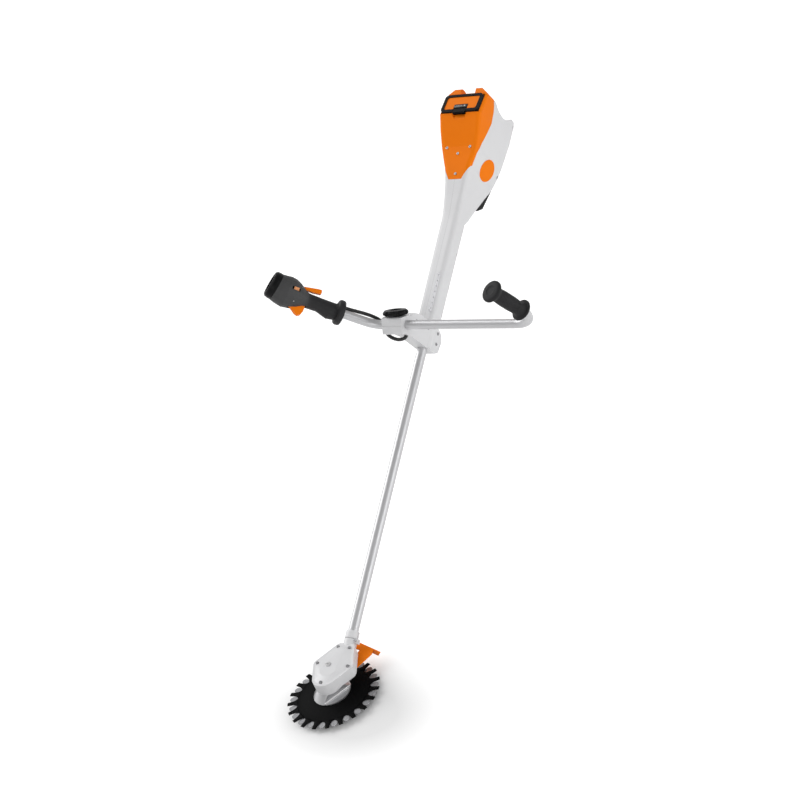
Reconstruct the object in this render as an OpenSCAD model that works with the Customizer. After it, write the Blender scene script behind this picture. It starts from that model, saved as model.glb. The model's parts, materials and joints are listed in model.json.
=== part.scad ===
// Battery brush cutter with a reciprocating gear head and a two-handed handlebar.
// World frame: +Z up, forward is -Y, the operator stands at +Y and the operator's left is +X.
// The origin lies on the axis of the blades, at the ground under the ride plate.

/* [Cutting blades] */
// Radius to the tips of the teeth
blade_r = 128; // [120:1:136]
// Length of a tooth
tooth_len = 25; // [20:1:30]
// Number of teeth on each blade
tooth_count = 21; // [18:1:24]
// Thickness of a blade
blade_t = 1.8; // [1.4:0.1:2.4]
// Gap between the two blades
blade_gap = 0.4; // [0.3:0.1:0.6]
// Height of the gap between the blades above the ground
cut_h = 14; // [12:0.5:17]
// Rise of the upper blade from its teeth to its centre
upper_rise = 5.5; // [4.5:0.5:6.5]
// Rise of the lower blade from its teeth to its centre
lower_rise = 4; // [3:0.5:4]
// Radius of the ride plate under the blades
ride_r = 38; // [32:1:45]

/* [Gear head] */
// Distance from the blade axis to the crank axis
crank_y = 80; // [78:1:82]
// Teeth on the pinion
pinion_teeth = 15; // [13:1:17]
// Outer pitch radius of the crank gear
gear_r = 18; // [16:0.5:18.5]
// Radius of the eccentric discs
cam_r = 9.5; // [8.5:0.5:10]
// Thickness of a drive fork
fork_t = 4.2; // [3.5:0.1:4.5]
// Diameter of the inner spindle
spindle_d = 14; // [12:0.5:15]
// Outer diameter of the hollow outer spindle
sleeve_d = 24; // [22:0.5:25]
// Radius of the nose round the spindles
nose_r = 36; // [33:1:39]
// Half width of the gear case at its widest
case_w = 60; // [56:1:64]
// Height of the underside of the gear case above the ground
case_z = 44; // [43:0.5:45]
// Depth of the gear case up to its cover
case_h = 31; // [30:0.5:33]
// Wall of the gear case
case_wall = 4; // [3:0.5:4.5]
// Radius of the pressed shield under the nose
shield_r = 50; // [46:1:54]

/* [Drive tube] */
// Angle of the tube above the ground while cutting
tube_angle = 28.98; // [28:0.5:30]
// Outer diameter of the tube
tube_d = 28; // [26:0.5:30]
// Wall of the tube
tube_wall = 1.5; // [1.2:0.1:2]
// Diameter of the drive shaft
shaft_d = 8; // [7:0.5:9]
// Distance along the tube axis from the blade axis to the tube's lower end
tube_from = 150; // [148:1:154]
// Distance along the tube axis to the tube's upper end
tube_to = 1440; // [1420:5:1450]

/* [Handlebar] */
// Distance along the tube axis to the handlebar
bar_s = 1008.6; // [1000:1:1015]
// Height of the handlebar above the tube axis
bar_u = 143; // [138:1:150]
// Diameter of the handlebar
bar_d = 25; // [24:0.5:26]
// Wall of the handlebar
bar_wall = 2; // [1.5:0.1:2.5]
// Reach of the bar's left bend from the clamp
left_reach = 450; // [430:5:480]
// Inward lean of the left grip
left_lean = 14.3; // [8:0.5:20]
// Reach of the bar's right bend from the clamp
right_reach = 70; // [68:1:80]
// Outward lean of the right handle
right_lean = 40; // [36:1:44]
// Tilt of the clamp screw from the tube axis
clamp_tilt = 35; // [33:1:37]
// Diameter of the star knob
knob_d = 70; // [60:1:76]

/* [Housing] */
// Half width of the neck
neck_w = 26.5; // [25:0.5:28]
// Half width of the battery end
body_w = 68; // [67:0.5:72]
// Wall of the housing
shell_t = 2.6; // [2.2:0.1:3]
// Distance along the tube axis to the start of the neck
neck_from = 1076; // [1074:1:1082]
// Distance along the tube axis to the rear face
body_to = 1762; // [1760:1:1768]

/* [Battery] */
// Width of the battery
bat_w = 124; // [122:1:126]
// Thickness of the battery
bat_t = 64; // [60:0.5:65]
// Length of the battery that goes into its bay
bat_len = 150; // [140:1:152]
// Clearance round the battery
bat_gap = 0.8; // [0.4:0.1:1]
// Tilt of the battery from a right angle to the tube
bat_tilt = 11.3; // [10:0.5:12]

/* [Hidden] */
$fn = 64;

// colours of the mouldings and metals
white_c = "gainsboro";
orange_c = "darkorange";
dark_c = "dimgray";
black_c = [0.1, 0.1, 0.1];
steel_c = "silver";

big = 400;                    // longer than any cutting tool needs to be
run_gap = 0.05;               // radial running clearance
face_gap = 0.4;               // gap between faces that slide past each other

// ---------- places ----------

shaft_drop = 7.3;             // where the tube axis would meet the blade axis below the ground

// x across, y towards the underside, z along the tube from the blade axis
module on_tube(s = 0)
    translate([0, 0, -shaft_drop]) rotate([tube_angle - 90, 0, 0]) translate([0, 0, s]) children();

// x across, y above the tube axis, z down the tube, centred on the bar's plane
module in_bar_plane() on_tube(bar_s) rotate([180, 0, 0]) children();

// z along the clamp screw, x along the bar, centred on the bar
module on_clamp() on_tube(bar_s) translate([0, -bar_u, 0]) rotate([clamp_tilt, 0, 0]) children();

// z along the right handle from the bar's bend, y up the tube
module on_handle()
    on_tube(bar_s) translate([-right_reach, -bar_u, 0]) rotate([90, 0, -right_lean]) children();

// z along the left grip from the bar's bend, y up the tube
module on_grip()
    on_tube(bar_s) translate([left_reach, -bar_u, 0]) rotate([90, 0, -left_lean]) children();

// z out of the battery bay, x across, centred on the battery's face
bat_s = body_to - 39.5;
bat_u = 94.3;
module on_battery() on_tube(bat_s) translate([0, -bat_u, 0]) rotate([90 - bat_tilt, 0, 0]) children();

// a plate from x0 to x1 whose outline is drawn as (distance along the tube, height above it)
module side_plate(x0, x1)
    rotate([180, -90, 0]) translate([0, 0, x0]) linear_extrude(x1 - x0) children();

// both hands of a piece
module both_sides() for (side = [0, 1]) mirror([side, 0, 0]) children();

module ring(r_out, r_in, h) {
    difference() {
        cylinder(r = r_out, h = h);
        translate([0, 0, -1]) cylinder(r = r_in, h = h + 2);
    }
}

module rounded_box(size, r) {
    linear_extrude(size.z) offset(r) square([size.x - 2 * r, size.y - 2 * r], center = true);
}

// cap screw pointing down -Z, its head standing on z = 0
module screw(d, len, head_d, head_h) {
    translate([0, 0, -len]) cylinder(d = d, h = len);
    difference() {
        cylinder(d = head_d, h = head_h);
        translate([0, 0, head_h - 1.5]) cylinder(d = head_d / 2, h = 3, $fn = 6);
    }
}

// ---------- lofts ----------

corner_steps = 5;
function corner(cx, cy, r, a0) =
    [for (i = [0:corner_steps]) let (a = a0 + 90 * i / corner_steps) [cx + r * cos(a), cy + r * sin(a)]];

// rounded section: half width, height above and depth below the axis, upper and lower corner radius
function section(w, up, down, r_up, r_down) = concat(
    corner(w - r_down, down - r_down, r_down, 0), corner(r_down - w, down - r_down, r_down, 90),
    corner(r_up - w, r_up - up, r_up, 180), corner(w - r_up, r_up - up, r_up, 270));

module loft(rings) {
    n = len(rings[0]);
    last = len(rings) - 1;
    polyhedron(
        points = [for (loop = rings) each loop],
        faces = concat(
            [[for (j = [0:n - 1]) j]],
            [for (i = [0:last - 1], j = [0:n - 1]) let (k = (j + 1) % n)
                each [[i * n + j, (i + 1) * n + j, (i + 1) * n + k],
                    [i * n + j, (i + 1) * n + k, i * n + k]]],
            [[for (j = [n - 1:-1:0]) last * n + j]]));
}

// round tube along a route, as one closed solid
function unit(v) = v / norm(v);
function heading(route, i) =
    unit(route[min(i + 1, len(route) - 1)] - route[max(i - 1, 0)]);
function around(p, dir, r, sides) =
    let (side = unit(cross(dir, [0.31, 0.2, 0.93])), up = cross(side, dir))
    [for (j = [0:sides - 1]) let (a = -360 * j / sides) p + r * (side * cos(a) + up * sin(a))];
module swept_tube(route, r, sides)
    loft([for (i = [0:len(route) - 1]) around(route[i], heading(route, i), r, sides)]);

// ---------- blades and what clamps them ----------

blade_root_r = blade_r - tooth_len;
blade_flat_r = blade_root_r - 5;      // the teeth zone is flat from here outwards
blade_hub_r = 45;                     // and the hub zone is flat up to here
tooth_pitch = 360 / tooth_count;
upper_z = cut_h + blade_gap / 2;      // underside of the upper blade at its teeth
lower_z = cut_h - blade_gap / 2 - blade_t;
upper_hub_z = upper_z + upper_rise;
lower_hub_z = lower_z + lower_rise;
upper_bore_r = sleeve_d / 2 + 1;
stub_r = 6;                           // stub of the inner spindle below the blades
shoulder_r = sleeve_d / 2;            // shoulder of the inner spindle inside the upper blade's bore

// dished disc of even thickness, flat at the teeth and at the hub
module dished_disc(z, rise, bore_r, r) {
    rotate_extrude($fn = 126) polygon([
        [bore_r, z + rise], [blade_hub_r, z + rise], [blade_flat_r, z], [r, z],
        [r, z + blade_t], [blade_flat_r, z + blade_t], [blade_hub_r, z + rise + blade_t],
        [bore_r, z + rise + blade_t]]);
}

// gaps between teeth whose half widths are given at each radius, with rounded roots
module gullets(z, fillet, turn, flank) {
    pitch_half = tooth_pitch / 2;
    side = [for (p = flank) [p[0] * cos(pitch_half) + p[1] * sin(pitch_half),
        p[0] * sin(pitch_half) - p[1] * cos(pitch_half)]];
    for (i = [0:tooth_count - 1]) rotate([0, 0, turn + i * tooth_pitch]) translate([0, 0, z - 1])
        linear_extrude(blade_t + 2) offset(fillet, $fn = 32) offset(delta = -fillet)
            polygon(concat(side, [for (i = [len(side) - 1:-1:0]) [side[i][0], -side[i][1]]]));
}

// narrow cutting teeth, a little wider at their blunt tips
module upper_blade() color(black_c) difference() {
    dished_disc(upper_z, upper_rise, upper_bore_r, blade_r);
    gullets(upper_z, 8, tooth_pitch / 2,
        [[blade_root_r, 6], [blade_r - 12, 3.8], [blade_r, 4.4], [blade_r + 20, 4.4]]);
}

// wide fingers with round tips, set half a pitch from the upper teeth
finger_r = blade_r - 5;
finger_w = 17;
module lower_blade() color(steel_c) difference() {
    dished_disc(lower_z, lower_rise, stub_r, finger_r);
    gullets(lower_z, 4, 0, [[blade_root_r, finger_w / 2], [finger_r - 8, finger_w / 2],
        [finger_r - 3.5, finger_w * 0.41], [finger_r - 1, finger_w * 0.26], [finger_r, finger_w * 0.1],
        [finger_r + 20, finger_w * 0.1]]);
}

ride_rim_h = 3;
nut_r = 14;                           // recess of the nut
nut_top = 9;
module ride_plate() color("slategray") {
    rotate_extrude() polygon([
        [nut_r, 0], [ride_r - 10, 0], [ride_r - 3, 1.2], [ride_r, ride_rim_h + 1],
        [ride_r - 1, ride_rim_h + 3],
        [ride_r - 14, lower_hub_z - 3], [ride_r - 18, lower_hub_z], [stub_r, lower_hub_z],
        [stub_r, nut_top], [nut_r, nut_top]]);
}

// round nut, flush with the ride plate, with two holes for a pin spanner
module ride_nut() color(steel_c) {
    difference() {
        cylinder(r = nut_r - 0.2, h = nut_top);
        translate([0, 0, 2]) cylinder(r = stub_r, h = nut_top);
        for (side = [-1, 1]) translate([side * 9.5, 0, -1]) cylinder(r = 1.6, h = 5);
    }
}

// ---------- spindles and drive forks ----------

case_top = case_z + case_h;
apex_z = crank_y * tan(tube_angle) - shaft_drop;   // where the tube axis meets the crank axis
apex_s = crank_y / cos(tube_angle);
shaft_angle = 90 - tube_angle;
gear_cone = atan(sin(shaft_angle) / (0.5 + cos(shaft_angle)));
pinion_cone = shaft_angle - gear_cone;
cone_out = gear_r / sin(gear_cone);                // outer cone distance
cone_in = 0.7 * cone_out;
gear_back_z = apex_z + cone_out * cos(gear_cone) + 3;
fork_low_z = gear_back_z + 1;
fork_high_z = fork_low_z + fork_t + face_gap;
swing = tooth_pitch / 4;                           // each blade swings this far either way
throw = crank_y * sin(swing);                      // eccentricity
cam_hub_r = 6.2;
pin_r = 4;
slot_r = cam_r + 2 * throw + 0.5;
spindle_r = spindle_d / 2;
sleeve_r = sleeve_d / 2;
flange_r = 22;

module outer_spindle() color(steel_c) {
    z0 = upper_hub_z + blade_t;
    difference() {
        union() {
            translate([0, 0, z0]) cylinder(r = flange_r, h = 4);
            translate([0, 0, z0]) cylinder(r = sleeve_r, h = fork_low_z + fork_t - z0);
            translate([0, 0, upper_hub_z]) cylinder(r = upper_bore_r, h = blade_t);
        }
        translate([0, 0, z0]) cylinder(r = spindle_r + run_gap, h = big);
        translate([0, 0, upper_hub_z - 1]) cylinder(r = shoulder_r + run_gap, h = blade_t + 3);
    }
}

module inner_spindle() color("lightsteelblue") {
    z0 = lower_hub_z + blade_t;
    translate([0, 0, 2]) cylinder(r = stub_r, h = z0 - 2);
    translate([0, 0, z0]) cylinder(r = shoulder_r, h = upper_hub_z + blade_t - z0);
    translate([0, 0, z0]) cylinder(r = spindle_r, h = fork_high_z + fork_t - z0);
}

// lever that swings a spindle, open round the eccentric
fork_wall = 4.5;
fork_out_r = slot_r + fork_wall;
module fork(z, bore_r) {
    translate([0, 0, z]) linear_extrude(fork_t) difference() {
        union() {
            circle(bore_r + 6);
            polygon([[-bore_r - 5, 0], [bore_r + 5, 0], [fork_out_r * 0.8, crank_y - fork_out_r * 0.6],
                [-fork_out_r * 0.8, crank_y - fork_out_r * 0.6]]);
            intersection() {
                translate([0, crank_y]) circle(fork_out_r);
                translate([-big, 0]) square([2 * big, crank_y + 4]);
            }
        }
        circle(bore_r);
        translate([0, crank_y]) circle(slot_r);
        translate([-slot_r, crank_y]) square([2 * slot_r, big]);
        translate([0, crank_y - slot_r - 18]) circle(6);
    }
}
module upper_fork() color("darkgray") fork(fork_low_z, sleeve_r);
module lower_fork() color("gray") fork(fork_high_z, spindle_r);

bush_from = case_z - 1;
bush_to = case_z + 12;
bush_out_r = sleeve_r + 4;
module spindle_bushes() color("darkgoldenrod") {
    translate([0, 0, bush_from]) ring(bush_out_r, sleeve_r + run_gap, 5);
    translate([0, 0, bush_to - 5]) ring(bush_out_r, sleeve_r + run_gap, 5);
}

pin_seat = 1.5;               // bottom of the pin's seat above the underside of the case
module crank_pin() color(steel_c)
    translate([0, crank_y, case_z + pin_seat]) cylinder(r = pin_r, h = case_h - pin_seat + 1);

// straight-flanked bevel teeth between two cones with a common apex
module bevel(cone, teeth, tooth_share, z_dir) {
    root = cone - 3.2;
    tip = cone + 2.4;
    half = 90 * tooth_share / teeth;
    module frustum(angle) {
        h0 = cone_in * cos(cone);
        h1 = cone_out * cos(cone);
        translate([0, 0, h0]) cylinder(r1 = h0 * tan(angle), r2 = h1 * tan(angle), h = h1 - h0);
    }
    frustum(root);
    intersection() {
        frustum(tip);
        linear_extrude(big) for (i = [0:teeth - 1]) rotate([0, 0, (i + z_dir) * 360 / teeth])
            polygon([[0, 0], big * [cos(half), sin(half)], big * [cos(half), -sin(half)]]);
    }
}

gear_teeth = 2 * pinion_teeth;
tooth_share = 0.8;            // tooth width as a share of half the pitch
module crank_gear() color("goldenrod") {
    difference() {
        translate([0, crank_y, apex_z]) rotate([0, 0, 90]) union() {
            bevel(gear_cone, gear_teeth, tooth_share, 0.5);
            translate([0, 0, cone_out * cos(gear_cone)])
                cylinder(r = cone_out * cos(gear_cone) * tan(gear_cone - 3.2),
                    h = gear_back_z - apex_z - cone_out * cos(gear_cone));
            translate([0, 0, case_z + case_wall + face_gap - apex_z])
                cylinder(r = 7, h = apex_z + cone_in * cos(gear_cone) + 1 - case_z - case_wall - face_gap);
        }
        translate([0, crank_y, 0]) cylinder(r = pin_r + run_gap, h = big);
    }
}

module eccentric_cams() color("darkkhaki") {
    difference() {
        union() {
            translate([0, crank_y, gear_back_z])
                cylinder(r = cam_hub_r, h = fork_high_z + fork_t - gear_back_z);
            translate([0, crank_y + throw, fork_low_z]) cylinder(r = cam_r, h = fork_t);
            translate([0, crank_y - throw, fork_high_z]) cylinder(r = cam_r, h = fork_t);
        }
        translate([0, crank_y, 0]) cylinder(r = pin_r + run_gap, h = big);
    }
}

// ---------- pinion, shaft and tube ----------

shaft_r = shaft_d / 2;
tube_r = tube_d / 2;
bearing_r = 9.5;
bearing_w = 7;
pinion_end_s = apex_s + cone_out * cos(pinion_cone);
bearing_s = [pinion_end_s + 2.2, pinion_end_s + 12.6];
pinion_root_r = cone_out * cos(pinion_cone) * tan(pinion_cone - 3);

module pinion() color("peru") {
    on_tube(apex_s) difference() {
        union() {
            rotate([0, 0, 90]) bevel(pinion_cone, pinion_teeth, tooth_share, pinion_teeth % 2 / 2);
            translate([0, 0, cone_out * cos(pinion_cone)]) cylinder(r = pinion_root_r - 1, h = 1);
        }
        cylinder(r = shaft_r, h = big);
    }
}

module pinion_bearings() color("lightslategray")
    for (s = bearing_s) on_tube(s) ring(bearing_r, shaft_r + run_gap, bearing_w);

rotor_from = 1522;
rotor_to = 1584;
module drive_shaft() color(steel_c)
    on_tube(apex_s + cone_in * cos(pinion_cone))
        cylinder(r = shaft_r, h = rotor_from - apex_s - cone_in * cos(pinion_cone));

module drive_tube() color(steel_c)
    on_tube(tube_from) ring(tube_r, tube_r - tube_wall, tube_to - tube_from);

bush_count = 5;
bush_w = 22;
module tube_bushes() color("burlywood")
    for (i = [0:bush_count - 1])
        on_tube(tube_from + 40 + i * (tube_to - tube_from - 80 - bush_w) / (bush_count - 1))
            ring(tube_r - tube_wall, shaft_r + run_gap, bush_w);

// ---------- gear case ----------

collar_r = tube_r + 4;
collar_from = tube_from - 22;
collar_to = tube_from + 36;
case_tail_y = 110;
cover_screws = [[18, case_tail_y - 3], [case_w - 12, 42], [0, -24]];

// outline of the case seen from above, drawn inset by d
module case_outline(d = 0) {
    hull() {
        circle(nose_r - d);
        for (side = [-1, 1]) translate([side * (case_w - 18), 44]) circle(18 - d, $fn = 32);
    }
    hull() for (side = [-1, 1]) {
        translate([side * (case_w - 18), 44]) circle(18 - d, $fn = 32);
        translate([side * 16, case_tail_y]) circle(13 - d, $fn = 32);
    }
}

module gearbox_housing() color(white_c) {
    difference() {
        union() {
            translate([0, 0, case_z + 5]) linear_extrude(case_h - 5) case_outline();
            translate([0, 0, case_z]) linear_extrude(5) case_outline(4);
            translate([0, 0, case_z - 1]) cylinder(r = nose_r - 2, h = 10);
            case_neck();
            on_tube(collar_from) cylinder(r = collar_r, h = collar_to - collar_from);
            on_tube(ear_s) translate([collar_r - 6, -8, 0]) cube([12, 16, ear_len]);
        }
        // gear room, up to the joint of the cover
        translate([0, 0, case_z + case_wall]) linear_extrude(case_h) intersection() {
            case_outline(case_wall + 2);
            translate([-big, -big]) square([2 * big, big + crank_y + 22]);
        }
        on_tube(apex_s + 12) cylinder(r = 11.5, h = bearing_s[0] - apex_s - 12);
        on_tube(bearing_s[0] - 1) cylinder(r = bearing_r, h = bearing_s[1] + bearing_w - bearing_s[0] + 1);
        on_tube(bearing_s[1]) cylinder(r = shaft_r + 3, h = big);
        on_tube(tube_from) cylinder(r = tube_r, h = big);
        cylinder(r = bush_out_r, h = case_top);
        translate([0, 0, case_z - 20]) cylinder(r = nose_r, h = 19);
        // slot of the clamping collar
        on_tube(ear_s) translate([0, -0.8, 0]) cube([big, 1.6, big]);
        on_tube(ear_s + ear_len - 2) translate([-big / 2, -big, 0]) cube([big, big - 2, 2]);
        on_tube(clamp_screw_s) translate([clamp_screw_x, -big / 2, 0]) rotate([-90, 0, 0])
            cylinder(d = 5.2, h = big);
        translate([0, crank_y, case_z + pin_seat]) cylinder(r = pin_r, h = case_wall);
        for (p = wing_screws) translate([p.x, p.y, case_z - 1]) cylinder(d = 4, h = 9);
        for (p = cover_screws) both_sides() translate([p.x, p.y, case_top - 12]) cylinder(d = 4.2, h = 20);
    }
    // boss that guides the bushes of the spindles
    translate([0, 0, case_z + case_wall - 1])
        ring(bush_out_r + 4, bush_out_r, bush_to - case_z - case_wall + 1);
}

ear_s = tube_from + 4;
ear_len = 12;
clamp_screw_s = ear_s + ear_len / 2;
clamp_screw_x = collar_r + 1.9;

// what leads from the case into its collar
module case_neck() hull() {
    on_tube(collar_from + 1) cylinder(r = collar_r - 1, h = 4, $fn = 32);
    translate([0, crank_y + 20, case_z - 8]) cylinder(r = 17, h = case_h + 8, $fn = 32);
}

dome_h = 6;
flange_t = 3;
module gearbox_cover() color("whitesmoke") {
    difference() {
        union() {
            translate([0, 0, case_top]) linear_extrude(flange_t) case_outline();
            hull() {
                translate([0, 0, case_top + flange_t - 0.1]) linear_extrude(0.1) case_outline(7);
                translate([0, 18, case_top + flange_t]) cylinder(r1 = 28, r2 = 22, h = dome_h, $fn = 32);
                translate([0, 92, case_top + flange_t])
                    cylinder(r1 = 14, r2 = 10, h = dome_h - 2, $fn = 32);
            }
        }
        translate([0, 0, case_top - 1]) linear_extrude(flange_t + 1) intersection() {
            case_outline(case_wall + 4);
            translate([-big, -big]) square([2 * big, big + crank_y + 20]);
        }
        translate([0, crank_y, 0]) cylinder(r = pin_r, h = case_top + 1.1);
        for (p = cover_screws) both_sides() translate([p.x, p.y, case_top - 1]) {
            cylinder(d = 5, h = big);
            translate([0, 0, flange_t + 1]) cylinder(d = 10, h = big);
        }
        translate([plug_at.x, plug_at.y, case_top]) cylinder(r = 5, h = big);
        on_tube(collar_from) cylinder(r = collar_r + 0.3, h = big);
    }
}

plug_at = [-8, 36];
module filler_plug() color(steel_c)
    translate([plug_at.x, plug_at.y, case_top + flange_t - 2]) {
        cylinder(r = 5, h = dome_h + 2);
        translate([0, 0, dome_h + 2]) difference() {
            cylinder(r = 7, h = 3);
            translate([-4.5, -0.9, 1.6]) cube([9, 1.8, 3]);
        }
    }

module gearbox_screws() color("dimgray") {
    for (p = cover_screws, side = p.x == 0 ? [1] : [-1, 1])
        translate([side * p.x, p.y, case_top + flange_t]) screw(4.2, 14, 8, 4);
}

module collar_screws() color("dimgray")
    on_tube(clamp_screw_s) translate([clamp_screw_x, -8, 0]) rotate([90, 0, 0]) screw(5.2, 15, 7, 4);

// pressed shield under the nose, with a flat step that lets clippings out
shield_t = 1.6;
shield_rim_z = upper_hub_z + blade_t + 0.8;
step_turn = -27;
step_at = 26;
shield_top_z = case_z - 1;
module shield_core() rotate_extrude() polygon([
    [0, shield_rim_z], [shield_r, shield_rim_z], [nose_r - 2, shield_top_z - shield_t],
    [0, shield_top_z - shield_t]]);
module shield_bowl() rotate_extrude() polygon([
    [shield_r, shield_rim_z], [shield_r + 1.5, shield_rim_z + 1.6], [nose_r - 1, shield_top_z],
    [sleeve_r + 2, shield_top_z], [sleeve_r + 2, shield_top_z - shield_t],
    [nose_r - 2, shield_top_z - shield_t]]);
module beyond_step(d) rotate([0, 0, step_turn]) translate([step_at - d, -big, 0]) cube(2 * big);
module hub_shield() color("silver") {
    difference() {
        shield_bowl();
        beyond_step(0);
    }
    intersection() {
        shield_core();
        beyond_step(shield_t);
        rotate([0, 0, step_turn]) translate([step_at - big, -big, 0]) cube([big, 2 * big, big]);
    }
    intersection() {
        translate([0, 0, shield_rim_z]) ring(shield_r + 1, sleeve_r + 2, shield_t);
        beyond_step(shield_t);
    }
    intersection() {
        translate([0, 0, shield_rim_z]) ring(shield_r + 1, shield_r - 1, 3.4);
        beyond_step(0);
    }
}

// wing over the rear of the blades on the operator's left, with a fin that stops clippings
wing_t = 3;
fin_h = 18;
wing_in = 18.5;               // clear of the neck of the case
fin_from = [-6, 167];
fin_to = [86, 136];
wing_screws = [[21.8, case_tail_y - 6.5], [21.8, case_tail_y + 2.5]];
module deflector() color(orange_c) difference() {
    union() {
        translate([0, 0, case_z - wing_t]) linear_extrude(wing_t) polygon([
            [wing_in, 99], [36, 70], [43, 72], [62, 127], [58, 145], fin_from, [-6, 142],
            [wing_in, 138]]);
        // fin along the rear edge, its end cut back underneath
        intersection() {
            translate([0, 0, case_z - fin_h]) linear_extrude(fin_h) polygon([
                fin_from, fin_from - [0, wing_t], fin_to - [0, wing_t], fin_to]);
            rotate([90, 0, 0]) translate([0, 0, -big]) linear_extrude(big) polygon([
                [-10, case_z + 1], [fin_to.x + 1, case_z + 1], [fin_to.x - fin_h + 1, case_z - fin_h - 1],
                [fin_from.x + 14, case_z - fin_h - 1], [-10, case_z - fin_h + 10]]);
        }
    }
    for (p = wing_screws) translate([p.x, p.y, 0]) cylinder(d = 4, h = big);
}
module deflector_screws() color("dimgray")
    for (p = wing_screws) translate([p.x, p.y, case_z - wing_t]) rotate([180, 0, 0]) screw(4, 10, 8, 3);

// ---------- bracket and clamp ----------

bracket_half = 20;
bracket_from = 1003;
bracket_end = neck_from - 3;
jaw_w = 65;
jaw_d = 48;
jaw_h = 23.5;
bracket_screws_at = [[bar_s + 46, 24], [bar_s + 52, -28], [bar_s + 22, -32], [bar_s + 38, 86]];
cable_d = 9;
cable_hole = [10, 102];       // where the cable goes into the bracket: across, above the tube axis

module bracket_outline() {
    polygon([
        [bracket_from, -34], [bracket_from + 8, -48], [bar_s + 36, -54], [bracket_end - 10, -47],
        [bracket_end, -30], [bracket_end, 72], [bracket_end - 9, bar_u - 42], [bar_s + 36, bar_u - 26],
        [bar_s + 26, bar_u - 8], [bar_s, bar_u - 12], [bar_s - 20, bar_u - 6], [bar_s - 17, bar_u - 22],
        [bar_s - 10, 86], [bracket_from - 2, 30]]);
}

module jaw_block(z0, z1, grow = 0) {
    half_w = jaw_w / 2 + grow;
    half_d = jaw_d / 2 + grow;
    translate([-half_w, -half_d, z0]) cube([2 * half_w, 2 * half_d, z1 - z0]);
}

module bracket_half(side) {
    difference() {
        union() {
            on_tube() side_plate(side < 0 ? -bracket_half : 0, side < 0 ? 0 : bracket_half)
                bracket_outline();
            intersection() {
                on_tube(bracket_from + 2) cylinder(r = tube_r + 9, h = bracket_end - bracket_from - 2);
                translate([side < 0 ? -big : 0, -big, 0]) cube([big, 10 * big, 10 * big]);
            }
        }
        on_tube() cylinder(r = tube_r, h = 10 * big);
        on_clamp() jaw_block(-jaw_h, big);
        on_tube(bar_s - 30) translate([cable_hole.x, -cable_hole.y, 0]) cylinder(d = cable_d, h = 30);
        for (p = bracket_screws_at) on_tube(p.x) translate([0, -p.y, 0]) rotate([0, 90, 0]) {
            cylinder(d = 5, h = big, center = true);
            translate([0, 0, bracket_half - 3]) cylinder(d = 10, h = big);
        }
    }
}
module bracket_left() color(white_c) bracket_half(1);
module bracket_right() color(white_c) bracket_half(-1);

module bracket_screws() color("dimgray") {
    for (p = bracket_screws_at) on_tube(p.x) translate([bracket_half - 3, -p.y, 0]) rotate([0, 90, 0])
        screw(5, bracket_half + 12, 9, 4);
    on_clamp() for (x = [-1, 1], y = [-1, 1]) translate([x * jaw_screw.x, y * jaw_screw.y, jaw_h - 4])
        screw(5, 2 * jaw_h - 10, 8, 4);
}

bar_r = bar_d / 2;
pad_r = 8;
pad_top = bar_r + 5;
screw_r = 4;
jaw_screw = [jaw_w / 2 - 7, jaw_d / 2 - 6];
module jaw(z0, z1) {
    difference() {
        intersection() {
            jaw_block(z0, z1);
            rotate([90, 0, 90]) linear_extrude(jaw_w, center = true) offset(6)
                square([jaw_d - 12, 2 * jaw_h - 12], center = true);
        }
        rotate([0, 90, 0]) cylinder(r = bar_r + run_gap, h = big, center = true);
        for (x = [-1, 1], y = [-1, 1]) translate([x * jaw_screw.x, y * jaw_screw.y, 0]) {
            translate([0, 0, 6 - jaw_h]) cylinder(d = 5, h = big);
            translate([0, 0, jaw_h - 4]) cylinder(d = 9, h = big);
        }
    }
}
module clamp_lower() color(white_c) on_clamp() jaw(-jaw_h, -0.2);
module clamp_upper() color(white_c) on_clamp() difference() {
    jaw(0.2, jaw_h);
    cylinder(r = pad_r, h = pad_top);
    cylinder(r = screw_r + run_gap, h = big);
}
module clamp_pad() color(dark_c) on_clamp() difference() {
    translate([0, 0, bar_r - 2]) cylinder(r = pad_r - run_gap, h = pad_top - bar_r + 1.5);
    rotate([0, 90, 0]) cylinder(r = bar_r + run_gap, h = big, center = true);
}

knob_lobes = 7;
knob_h = 15;
knob_z = jaw_h + 3.5;
module star_knob() color(black_c) on_clamp() {
    translate([0, 0, pad_top]) cylinder(r = screw_r, h = knob_z - pad_top + 5);
    translate([0, 0, jaw_h + 0.5]) cylinder(r = 13, h = 4);
    difference() {
        translate([0, 0, knob_z]) rotate_extrude() polygon([
            [0, 0], [knob_d / 2 - 4, 0], [knob_d / 2, 4], [knob_d / 2, knob_h - 6],
            [knob_d / 2 - 5, knob_h - 1], [knob_d / 4, knob_h], [knob_d / 4 - 5, knob_h - 4],
            [0, knob_h - 4]]);
        for (i = [0:knob_lobes - 1]) rotate([0, 0, 360 * i / knob_lobes])
            translate([knob_d / 2 + 5, 0, knob_z - 1]) cylinder(r = 9.5, h = knob_h + 2);
    }
}

// ---------- handlebar and grips ----------

right_turn = 90 - right_lean;
left_turn = 90 + left_lean;
right_bend_r = 75;
left_bend_r = 60;
right_start = right_reach - right_bend_r * tan(right_turn / 2);   // straight ends of the bar
left_start = left_reach - left_bend_r * tan(left_turn / 2);
right_tail = right_bend_r * tan(right_turn / 2);                  // bend's end, along the handle
left_tail = left_bend_r * tan(left_turn / 2);
handle_from = 96;
bar_into_handle = 196;
grip_from = left_tail + 2;
grip_len = 124;

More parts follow.
